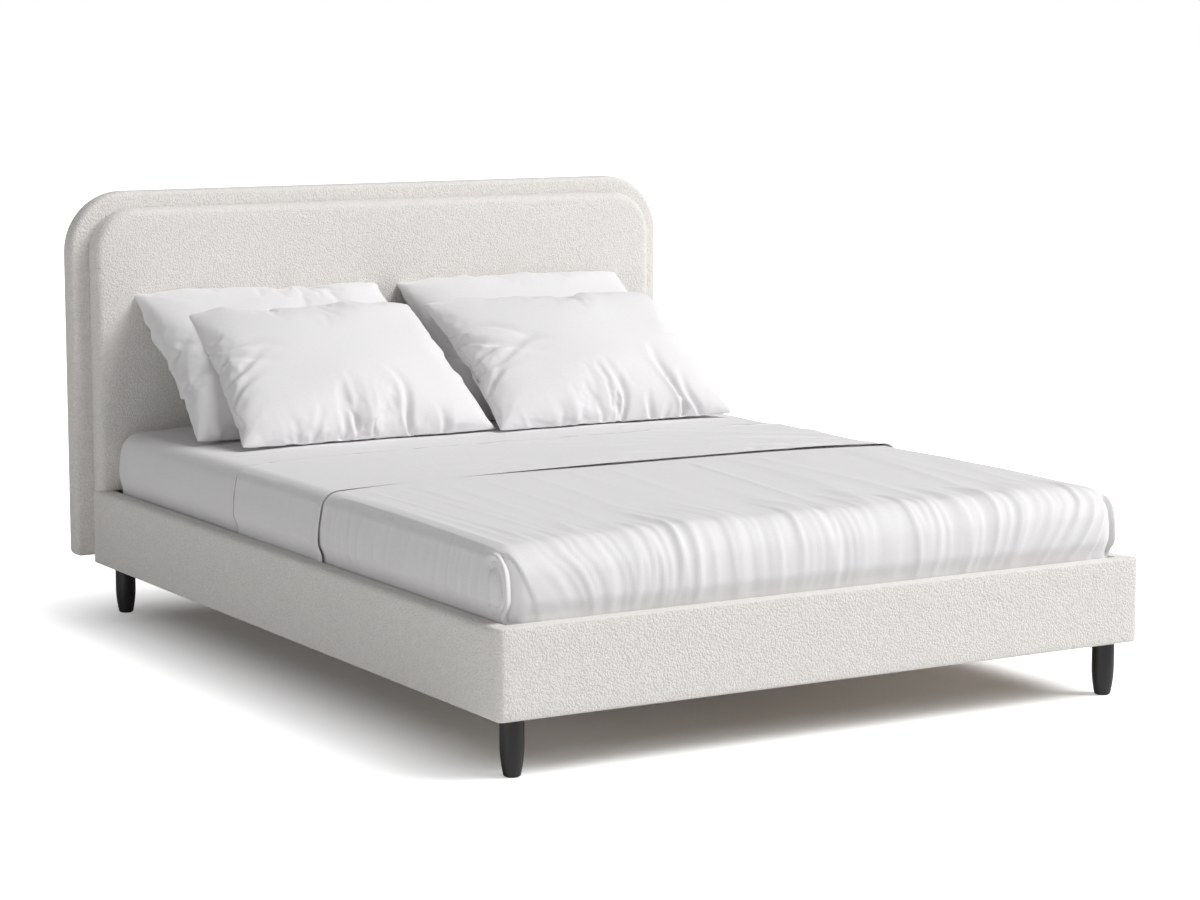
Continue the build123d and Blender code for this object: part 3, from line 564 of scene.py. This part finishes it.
def makeFlatSheet():
    style = flatSheet
    sideDrop, endDrop = dropLength(style, "sideEdge"), dropLength(style, "endEdge")
    halfAcross = bedding["halfWidth"] + style["grow"] - style["sideEdge"] + sideDrop
    flatFoot = bedding["foot"] - style["grow"] + style["endEdge"]
    toFold = endDrop + style["fold"] - flatFoot
    foldTurn = style["foldTurn"]
    length = toFold + foldTurn + style["band"]
    hiddenFrom = toFold - style["band"] + 0.05
    # rows stand close where the cloth shows and far apart where the band hides it
    marks = np.concatenate([
        np.arange(0, hiddenFrom, 0.0066), np.arange(hiddenFrom, toFold - 0.03, 0.045),
        np.arange(toFold - 0.03, toFold + foldTurn, 0.003), np.arange(toFold + foldTurn, length, 0.0076), [length]])
    # and columns stand closest by the two folded corners
    half = np.concatenate([np.arange(0, 0.722, 0.0058), np.arange(0.722, 0.800, 0.0021),
                           np.arange(0.800, halfAcross, 0.0058), [halfAcross]])
    threads = np.concatenate([-half[:0:-1], half])
    rows, columns = len(marks), len(threads)

    def alongCloth(v):
        return np.interp(v, np.linspace(0, 1, rows), marks)

    def acrossCloth(u):
        return np.interp(u, np.linspace(0, 1, columns), threads)

    def place(u, v):
        t = alongCloth(v)
        across = acrossCloth(u)
        turned = np.clip((t - toFold) / foldTurn, 0, 1)
        along = np.where(turned < 1, flatFoot + t - endDrop, style["fold"] - (t - toFold - foldTurn))
        along = np.where((turned > 0) & (turned < 1), style["fold"] + 0.003 * np.sin(turned * math.pi), along)
        lift = style["bandLift"] * (1 - np.cos(turned * math.pi)) / 2
        hem = ease(length - 0.06, length - 0.01, t) * turned
        onSide = ease(0, 0.05, np.abs(across) - bedding["halfWidth"] + 0.02)
        lift = lift + 0.0006 * hem + 0.005 * onSide * hem * np.where(across < 0, 1, 0.4)
        return layOver(across, np.maximum(along, flatFoot), np.minimum(t - endDrop, 0), lift, style)

    def heights(u, v, x, y, z):
        t = alongCloth(v)
        s = acrossCloth(u)
        band = ease(toFold, toFold + 0.03, t)
        side = ease(bedding["halfWidth"] - 0.012, bedding["halfWidth"] + 0.02, np.abs(s))
        fromFoot = t - endDrop + 0.06
        down = np.clip(-fromFoot, 0, 0.2)
        # folds stand over the foot edge, fan out of the corners and run on up the top
        fan = 0.75 * (1 - ease(-0.66, -0.42, s)) - 0.6 * ease(0.25, 0.66, s)
        flow = s - fan * down + 0.014 * noiseAt(s * 4, fromFoot * 7, 1.3)
        strength = noiseAt(flow * 6.5, fromFoot * 1.5, 4.2) * 0.5 + 0.75
        reach = 0.16 + 0.30 * np.clip(noiseAt(flow * 9, 0.5, 9.2) + 0.25, 0, 1)
        fade = 1 - ease(0.25 * reach, reach, fromFoot)
        fold = ridges(noiseAt(flow * 14, fromFoot * 1.6, 3.1)) + 0.6 * ridges(noiseAt(flow * 30, fromFoot * 2.4, 7.7))
        corner = ease(-0.735, -0.60, s) * (1 - 0.5 * ease(0.66, 0.75, s))
        gather = folds["gather"] * fold * strength * fade * corner * (1 - side) * (1 - 0.35 * ease(0.02, 0.12, down))
        # long shallow pulls run up the top, finer and straighter by the left edge
        top = ease(0.0, 0.10, fromFoot) * (1 - side)
        pulls = folds["pulls"] * ridges(noiseAt((s - 0.10 * fromFoot) * 10, fromFoot * 0.9, 1.7))
        pulls = pulls * (0.35 + 0.65 * ease(-0.35, 0.3, s)) * top
        leftLines = folds["leftLines"] * ridges(noiseAt(s * 34, fromFoot * 0.8, 2.9))
        leftLines = leftLines * (1 - ease(-0.72, -0.42, s)) * top
        soft = folds["soft"] * noiseAt(s * 2.2, y * 2.2, 0.5)
        # the band: slanting folds on top, more crumpled by its hem
        toHem = length - t
        slant = 0.8 * softFolds(noiseAt((s * 0.5 + y) * 10, (s - y) * 1.5, 4.4)) + \
            0.35 * softFolds(noiseAt((s * 0.6 + y) * 24, (s - y) * 2.8, 6.4))
        crumple = ridges(noiseAt(s * 15, (y + s * 0.4) * 9, 2.2)) * (1 - ease(0.03, 0.16, toHem))
        bandRise = (folds["slant"] * slant + folds["crumple"] * crumple) * band * ease(0.0, 0.03, toHem) * (1 - side)
        creases = side * (folds["sideFolds"] * ridges(noiseAt(y * 22, z * 2.5, np.sign(s))) +
                          folds["sideLines"] * noiseAt(y * 60, z * 4, np.sign(s)))
        hemPlace = style["fold"] - style["band"]
        covered = 1 - ease(hemPlace - 0.12, hemPlace - 0.01, y) * (1 - side)
        total = (gather + pulls + leftLines) * (1 - band) * covered + soft + bandRise + creases
        for sign in (-1, 1):
            inward = bedding["halfWidth"] - mitre["inset"] - sign * x
            below = bedding["top"] - mitre["from"] - z
            onFoot = (1 - ease(endDrop - 0.03, endDrop + 0.02, t)) * ease(0.0, 0.012, below)
            width = mitre["narrow"] + mitre["widen"] * np.clip(below, 0, 0.2)
            pocket = ease(-0.001, 0.004, inward) * np.clip(1 - inward / width, 0, 1) ** 0.8
            total = total * (1 - 0.8 * onFoot * np.sqrt(pocket)) - mitre["pocket"] * onFoot * pocket
            total = total + mitre["edge"] * onFoot * np.exp(-((inward + 0.003) / mitre["edgeWidth"]) ** 2)
            total = total - mitre["groove"] * onFoot * np.exp(-((inward + 0.0095) / mitre["grooveWidth"]) ** 2)
        lowest = ease(bedding["railTop"] - 0.004, bedding["railTop"] + 0.012, z)
        return total * (0.2 + 0.8 * lowest)

    piece = clothPiece("flatSheetWithBand", rows, columns, place, heights, ["flat_sheet"])
    print("flat sheet:", rows, "by", columns, "flat size", round(2 * halfAcross, 3), round(length, 3))


makeFlatSheet()


pillowCloth = {"width": 0.735, "height": 0.535, "columns": 90, "rows": 66, "start": 0.035, "stray": 0.008,
               "pressure": 6.0, "frames": 14, "quality": 6, "mass": 0.002, "stiffness": 40, "shear": 15,
               "damping": 12, "air": 3, "shrink": -0.02, "fill": 0.65}
creaseShape = {"depth": 2.7, "reach": 1.25, "narrow": 0.007, "widen": 0.05, "waver": 0.012}
puckers = {"depth": 0.006, "pitch": 42, "reach": 0.10}
# A crease starts at a place along an edge, runs in for its reach and slants as it goes
pillows = {
    "rear_left_pillow": {
        "x": -0.367, "y": 0.596, "width": 0.694, "taper": 0.01, "height": 0.517, "seed": 3, "bend": 0.05,
        "lean": 39.2, "front": 0.085, "back": 0.07,
        "creases": [
            ("left", 0.12, 0.24, -0.5, 0.01), ("left", 0.02, 0.26, 0.35, 0.009), ("left", -0.1, 0.16, 0.5, 0.007),
            ("top", -0.02, 0.07, 0.3, 0.007), ("top", 0.16, 0.06, -0.4, 0.006), ("left", 0.2, 0.12, -0.8, 0.006)]},
    "rear_right_pillow": {
        "x": 0.364, "y": 0.596, "width": 0.69, "taper": 0.02, "height": 0.515, "seed": 8, "bend": 0.05, "lean": 39.2,
        "front": 0.085, "back": 0.07,
        "creases": [
            ("top", -0.12, 0.06, 0.4, 0.006), ("top", 0.02, 0.07, -0.3, 0.007), ("top", 0.2, 0.05, 0.3, 0.006),
            ("left", 0.1, 0.2, -0.4, 0.009)]},
    "front_left_pillow": {
        "x": -0.32, "y": 0.441, "width": 0.69, "taper": 0.085, "height": 0.508, "seed": 5, "bend": 0.02,
        "lean": 33.7, "front": 0.098, "back": 0.032,
        "creases": [
            ("bottom", 0.125, 0.16, -0.25, 0.013), ("bottom", 0.2, 0.07, -0.2, 0.008),
            ("bottom", -0.05, 0.1, 0.12, 0.009), ("bottom", -0.11, 0.07, 0.3, 0.007),
            ("bottom", -0.17, 0.09, 0.2, 0.008), ("bottom", -0.23, 0.06, 0.35, 0.006),
            ("left", 0.1, 0.18, -0.45, 0.01), ("left", 0.02, 0.16, -0.2, 0.009), ("left", -0.06, 0.15, 0.35, 0.008),
            ("left", -0.14, 0.12, 0.6, 0.007), ("top", -0.03, 0.06, 0.5, 0.008), ("top", 0.08, 0.05, -0.4, 0.007),
            ("top", -0.16, 0.07, 0.6, 0.006), ("right", 0.02, 0.07, 0.3, 0.006)]},
    "front_right_pillow": {
        "x": 0.361, "y": 0.411, "width": 0.69, "taper": 0.01, "height": 0.506, "seed": 11, "bend": 0.02,
        "lean": 33.7, "front": 0.094, "back": 0.032,
        "creases": [
            ("bottom", 0.2, 0.19, -0.22, 0.0169), ("bottom", 0.25, 0.12, -0.3, 0.0117),
            ("bottom", 0.02, 0.13, -0.1, 0.013), ("bottom", 0.1, 0.07, 0.1, 0.0104),
            ("bottom", -0.07, 0.06, 0.2, 0.0078), ("bottom", -0.18, 0.05, 0.3, 0.0065),
            ("bottom", 0.155, 0.05, 0.1, 0.0078), ("left", 0.13, 0.2, -0.55, 0.0088),
            ("left", 0.06, 0.24, -0.35, 0.0097), ("left", -0.01, 0.22, -0.1, 0.0088),
            ("left", -0.08, 0.2, 0.3, 0.008), ("left", -0.15, 0.15, 0.55, 0.0071), ("top", 0.03, 0.06, 0.4, 0.0091),
            ("top", 0.14, 0.05, -0.3, 0.0078), ("top", -0.16, 0.06, 0.3, 0.0078)]},
}


# Two layers of cloth joined at the rim and blown up until the seams pull in
def blowUpPillow(name, style):
    cloth = pillowCloth
    bm = bmesh.new()
    for side in (-1, 1):
        made = bmesh.ops.create_grid(bm, x_segments=cloth["columns"] - 1, y_segments=cloth["rows"] - 1, size=0.5)
        for vert in made["verts"]:
            u, v = vert.co.x * 2, vert.co.y * 2
            lens = (1 - u ** 4) * (1 - v ** 4)
            stray = noise.noise(Vector((u * 3 + style["seed"], v * 3, style["seed"] * 1.7)))
            vert.co = Vector((u * cloth["width"] / 2, v * cloth["height"] / 2,
                              side * lens * (cloth["start"] + cloth["stray"] * stray)))
        if side < 0:
            bmesh.ops.reverse_faces(bm, faces=list({f for v in made["verts"] for f in v.link_faces}))
    bmesh.ops.remove_doubles(bm, verts=bm.verts, dist=0.0005)
    bmesh.ops.recalc_face_normals(bm, faces=bm.faces)
    for face in bm.faces:
        face.smooth = True
    mesh = bpy.data.meshes.new(name)
    bm.to_mesh(mesh)
    bm.free()
    flat = np.array([v.co for v in mesh.vertices])
    pillow = bpy.data.objects.new(name, mesh)
    bpy.context.scene.collection.objects.link(pillow)
    modifier = pillow.modifiers.new("cloth", "CLOTH")
    settings = modifier.settings
    settings.quality = cloth["quality"]
    settings.mass = cloth["mass"]
    settings.tension_stiffness = settings.compression_stiffness = cloth["stiffness"]
    settings.shear_stiffness = cloth["shear"]
    settings.bending_stiffness = style["bend"]
    settings.tension_damping = settings.compression_damping = settings.shear_damping = cloth["damping"]
    settings.air_damping = cloth["air"]
    settings.use_pressure = True
    settings.uniform_pressure_force = cloth["pressure"]
    settings.shrink_min = cloth["shrink"]
    settings.effector_weights.gravity = 0
    scene = bpy.context.scene
    for frameNumber in range(1, cloth["frames"] + 1):
        scene.frame_set(frameNumber)
    graph = bpy.context.evaluated_depsgraph_get()
    settled = bpy.data.meshes.new_from_object(pillow.evaluated_get(graph))
    pillow.modifiers.clear()
    pillow.data = settled
    scene.frame_set(1)
    return pillow, flat


# How far each point of the flat case moves for the creases drawn in from its edges
def creaseDepth(flat, creases, seed):
    halfWidth, halfHeight = pillowCloth["width"] / 2, pillowCloth["height"] / 2
    x, y = flat[:, 0], flat[:, 1]
    depth = np.zeros(len(flat))
    for edge, start, reach, slant, size in creases:
        along = x if edge in ("bottom", "top") else y
        inward = {"bottom": y + halfHeight, "top": halfHeight - y, "left": x + halfWidth, "right": halfWidth - x}[edge]
        share = np.clip(1 - inward / (creaseShape["reach"] * reach), 0, 1)
        width = creaseShape["narrow"] + creaseShape["widen"] * np.clip(inward, 0, reach)
        bent = start + slant * inward + creaseShape["waver"] * np.sin(inward * 30 + seed + start * 40)
        offset = (along - bent) / width
        fold = -offset * np.exp(-offset ** 2) * 1.6 - 0.5 * np.exp(-(offset * 0.8) ** 2)
        depth += creaseShape["depth"] * size * fold * share ** 1.3 * ease(0, 0.010, inward)
    return depth


# Takes out part of the bow that the pulled-in seams gave each edge
def straightenEdges(co, flat):
    halfs = (pillowCloth["width"] / 2, pillowCloth["height"] / 2)
    shifted = co.copy()
    for axis, side, share in ((1, -1, 1.0), (1, 1, 0.75), (0, -1, 0.55), (0, 1, 0.55)):
        other = 1 - axis
        seam = np.abs(flat[:, axis] - side * halfs[axis]) < 1e-4
        order = np.argsort(flat[seam, other])
        bow = co[seam, axis][order]
        bow = bow - (bow.max() if side > 0 else bow.min())
        found = np.interp(flat[:, other], flat[seam, other][order], bow)
        near = np.clip(side * flat[:, axis] / halfs[axis], 0, 1) ** 1.5
        shifted[:, axis] -= found * share * near
    return shifted


def layPillow(body, style):
    case = body + "case"
    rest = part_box(case)[0].z
    name = "".join(word.title() if index else word for index, word in enumerate(body.split("_"))) + "Case"
    pillow, flat = blowUpPillow(name, style)
    co = np.array([v.co for v in pillow.data.vertices])
    size = co.max(0) - co.min(0)
    print(body, "blown up to", np.round(size, 3))
    co[:, 0] *= style["width"] / size[0]
    co[:, 1] *= style["height"] / size[1]
    co = straightenEdges(co, flat)
    co[:, 0] *= 1 - style["taper"] * np.clip(flat[:, 1] / pillowCloth["height"] + 0.5, 0, 1)
    thick = co[:, 2]
    front, back = max(thick.max(), 1e-6), max(-thick.min(), 1e-6)
    edgePuckers = np.zeros(len(co))
    u, v = np.abs(flat[:, 0]) / (pillowCloth["width"] / 2), np.abs(flat[:, 1]) / (pillowCloth["height"] / 2)
    for inward, along in ((1 - v, flat[:, 0]), ((1 - u) * 1.4, flat[:, 1])):
        gathers = noiseAt(along * puckers["pitch"], style["seed"] * 3.3, flat[:, 2] * 20)
        gathers = gathers * np.exp(-inward / puckers["reach"])
        edgePuckers += puckers["depth"] * gathers * ease(0, 0.05, inward)
    co[:, 2] = np.where(thick > 0, thick / front * style["front"], thick / back * style["back"])
    onFront = ease(0.0, 0.004, flat[:, 2])
    co[:, 2] += np.sign(flat[:, 2]) * edgePuckers + onFront * creaseDepth(flat, style["creases"], style["seed"])
    lean = math.radians(style["lean"])
    upSlope = co[:, 1] - co[:, 1].min()
    placed = np.stack([
        style["x"] + co[:, 0],
        style["y"] + upSlope * math.cos(lean) - co[:, 2] * math.sin(lean),
        rest + 0.003 + upSlope * math.sin(lean) + co[:, 2] * math.cos(lean),
    ], axis=1)
    below = np.minimum(placed[:, 2] - rest - 0.002, 0)
    placed[:, 2] -= below * 0.97
    for vert, place in zip(pillow.data.vertices, placed):
        vert.co = place
    filling = pillow.data.copy()
    middle = Vector(placed.mean(0))
    for vert in filling.vertices:
        vert.co = middle + (vert.co - middle) * 0.9
    filling.materials.clear()
    fillingName = name.replace("Case", "Filling")
    inside = placePiece(filling, fillingName, body, "fibre_filling", [body + "_filling"])
    pillow.data.materials.clear()
    pillow.data.materials.append(materials["bed_linen"])
    for face in pillow.data.polygons:
        face.use_smooth = True
    subdivision = pillow.modifiers.new("smooth", "SUBSURF")
    subdivision.levels = subdivision.render_levels = 1
    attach(pillow, body)
    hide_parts(case)


for body, style in pillows.items():
    layPillow(body, style)
print("bedding made")


# The floor glows with painted light seen only by the camera: glowNear by the bed, rising to glowFar at glowReach
# outside the bed's outline drawn in by glowInset. This paints out cast shadow and light falloff on the floor away from
# the bed and lightens the shade under it.
studio = {"floorSize": 60.0, "floorTone": 0.93, "glowNear": 0.05, "glowFar": 0.9, "glowReach": 0.55,
          "glowInset": 0.25, "skyStrength": 0.18}
sun = {"towards": (0.52, -0.36, 0.78), "strength": 1.75, "spread": 35}
softboxes = {
    "key": {"place": (5.5, -4.0, 5.5), "aim": (0, 0, 0.4), "size": 3.5, "power": 345},
    "fill": {"place": (-6.2, -2.4, 0.9), "aim": (-0.8, -0.2, 0.1), "size": 2.5, "power": 60},
}
view = {"place": (-3.7425, -6.4448, 1.5192), "turn": 30.57, "tilt": -7.95, "lens": 95.16}


def makeStudio():
    bm = bmesh.new()
    bmesh.ops.create_grid(bm, x_segments=1, y_segments=1, size=studio["floorSize"] / 2)
    mesh = bpy.data.meshes.new("floor")
    bm.to_mesh(mesh)
    bm.free()
    floor = bpy.data.objects.new("floor", mesh)
    bpy.context.scene.collection.objects.link(floor)
    floorGlowMaterial = bpy.data.materials.new("floorToneAndPaintedGlow")
    floorGlowMaterial.use_nodes = True
    surface = floorGlowMaterial.node_tree.nodes["Principled BSDF"]
    tone = studio["floorTone"]
    surface.inputs["Base Color"].default_value = (tone, tone, tone, 1)
    surface.inputs["Roughness"].default_value = 0.9
    surface.inputs["Specular IOR Level"].default_value = 0.1
    surface.inputs["Emission Color"].default_value = (1, 1, 1, 1)
    place = addNode(floorGlowMaterial.node_tree, "ShaderNodeTexCoord").outputs["Object"]
    # Painted light: the floor glows for the camera only, least over the bed's inset footprint and brightest away from
    # it.
    footprint = Vector((cadBox[1][0] - studio["glowInset"], cadBox[1][1] - studio["glowInset"], 0))
    folded = addNode(floorGlowMaterial.node_tree, "ShaderNodeVectorMath", {"operation": "ABSOLUTE"}, i0=place)
    outside = addNode(floorGlowMaterial.node_tree, "ShaderNodeVectorMath", {"operation": "SUBTRACT"}, i0=folded.outputs[0],
                      i1=footprint)
    outside = addNode(floorGlowMaterial.node_tree, "ShaderNodeVectorMath", {"operation": "MAXIMUM"}, i0=outside.outputs[0],
                      i1=(0, 0, 0))
    far = addNode(floorGlowMaterial.node_tree, "ShaderNodeVectorMath", {"operation": "LENGTH"}, i0=outside.outputs[0])
    glow = addNode(floorGlowMaterial.node_tree, "ShaderNodeMapRange", {"interpolation_type": "SMOOTHSTEP"},
                   Value=far.outputs["Value"])
    for label, value in (("From Min", 0.0), ("From Max", studio["glowReach"]), ("To Min", studio["glowNear"]),
                         ("To Max", studio["glowFar"])):
        glow.inputs[label].default_value = value
    seen = addNode(floorGlowMaterial.node_tree, "ShaderNodeLightPath").outputs["Is Camera Ray"]
    floorGlowMaterial.node_tree.links.new(mathNode(floorGlowMaterial.node_tree, "MULTIPLY", glow.outputs[0], seen),
                              surface.inputs["Emission Strength"])
    mesh.materials.append(floorGlowMaterial)

    lamp = bpy.data.lights.new("sun", "SUN")
    lamp.energy = sun["strength"]
    lamp.angle = math.radians(sun["spread"])
    holder = bpy.data.objects.new("sun", lamp)
    holder.rotation_euler = Vector(sun["towards"]).to_track_quat("Z", "Y").to_euler()
    bpy.context.scene.collection.objects.link(holder)

    for name, style in softboxes.items():
        panel = bpy.data.lights.new(name, "AREA")
        panel.shape = "SQUARE"
        panel.size = style["size"]
        panel.energy = style["power"]
        stand = bpy.data.objects.new(name, panel)
        stand.location = style["place"]
        aim = Vector(style["aim"]) - Vector(style["place"])
        stand.rotation_euler = aim.to_track_quat("-Z", "Y").to_euler()
        bpy.context.scene.collection.objects.link(stand)

    world = bpy.data.worlds.new("studio")
    world.use_nodes = True
    tree = world.node_tree
    sky = tree.nodes["Background"]
    path = addNode(tree, "ShaderNodeLightPath")
    strength = addNode(tree, "ShaderNodeMapRange", Value=path.outputs["Is Camera Ray"])
    strength.inputs["To Min"].default_value = studio["skyStrength"]
    strength.inputs["To Max"].default_value = 1.0
    tree.links.new(strength.outputs[0], sky.inputs["Strength"])
    sky.inputs["Color"].default_value = (1, 1, 1, 1)
    bpy.context.scene.world = world
    bpy.context.scene.view_settings.view_transform = "Standard"


def makeCamera():
    data = bpy.data.cameras.new("camera")
    data.lens = view["lens"]
    data.sensor_width = 36
    data.clip_end = 200
    camera = bpy.data.objects.new("camera", data)
    camera.location = view["place"]
    camera.rotation_euler = (math.radians(90 + view["tilt"]), 0, math.radians(-view["turn"]))
    bpy.context.scene.collection.objects.link(camera)
    bpy.context.scene.camera = camera


makeStudio()
makeCamera()

print("scene ready")
